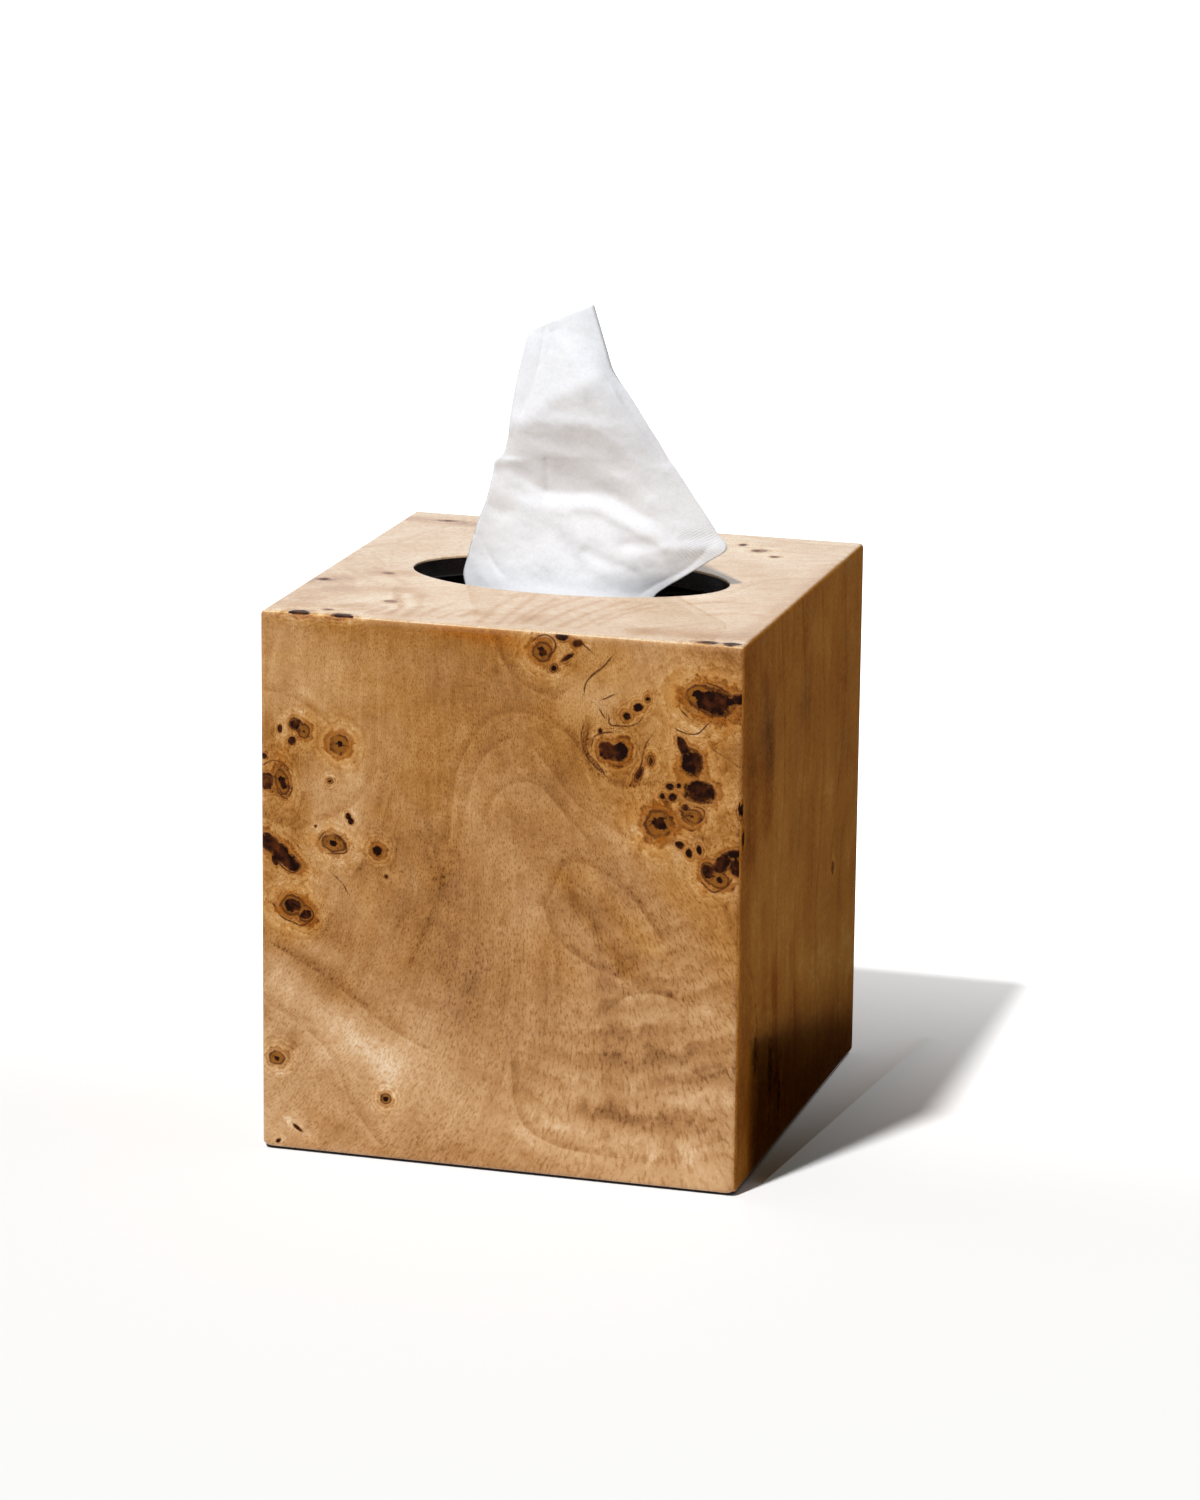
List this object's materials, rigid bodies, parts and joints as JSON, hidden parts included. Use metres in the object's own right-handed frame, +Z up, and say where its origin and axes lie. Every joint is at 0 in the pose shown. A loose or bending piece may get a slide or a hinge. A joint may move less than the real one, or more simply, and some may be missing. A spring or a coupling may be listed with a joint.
{
  "type": "tissue box cover",
  "caption": "Square open-bottomed cover in glossy burl veneer with an oval opening in its top, standing over a refill carton whose pulled tissue rises through the opening.",
  "frame": {"origin": "on the shelf, at the middle of the cover's square footprint", "axes": "+Z up, front face towards -Y, +X to the right seen from the front"},
  "size_m": [0.13, 0.13, 0.2197],
  "materials": {
    "burl": "burl veneer under high-gloss clear lacquer",
    "black_lacquer": "fibreboard, brown-black lacquer",
    "pine": "pine glue blocks, painted with the inside",
    "felt": "black wool felt",
    "carton": "plain white coated board",
    "film": "clear thin film",
    "tissue": "white two-ply tissue"
  },
  "bodies": {
    "refill": {"carton_base": "carton", "carton_front": "carton", "carton_right": "carton", "carton_back": "carton", "carton_left": "carton", "carton_top": "carton", "window_film": "film", "tissue_stack": "tissue"},
    "cover": {"front_panel": "black_lacquer", "back_panel": "black_lacquer", "left_panel": "black_lacquer", "right_panel": "black_lacquer", "top_panel": "black_lacquer", "front_veneer": "burl", "back_veneer": "burl", "left_veneer": "burl", "right_veneer": "burl", "top_veneer": "burl", "front_left_glue_block": "pine", "front_right_glue_block": "pine", "back_right_glue_block": "pine", "back_left_glue_block": "pine", "front_felt": "felt", "right_felt": "felt", "back_felt": "felt", "left_felt": "felt"},
    "tissue": {"pulled_tissue": "tissue"}
  },
  "joints": [
    {"name": "cover_lift", "type": "slide", "parent": "refill", "child": "cover", "axis": [0, 0, 1], "range_m": [0, 0.225]},
    {"name": "tissue_pull", "type": "slide", "parent": "refill", "child": "tissue", "axis": [0, 0, 1], "range_m": [0, 0.08]}
  ]
}
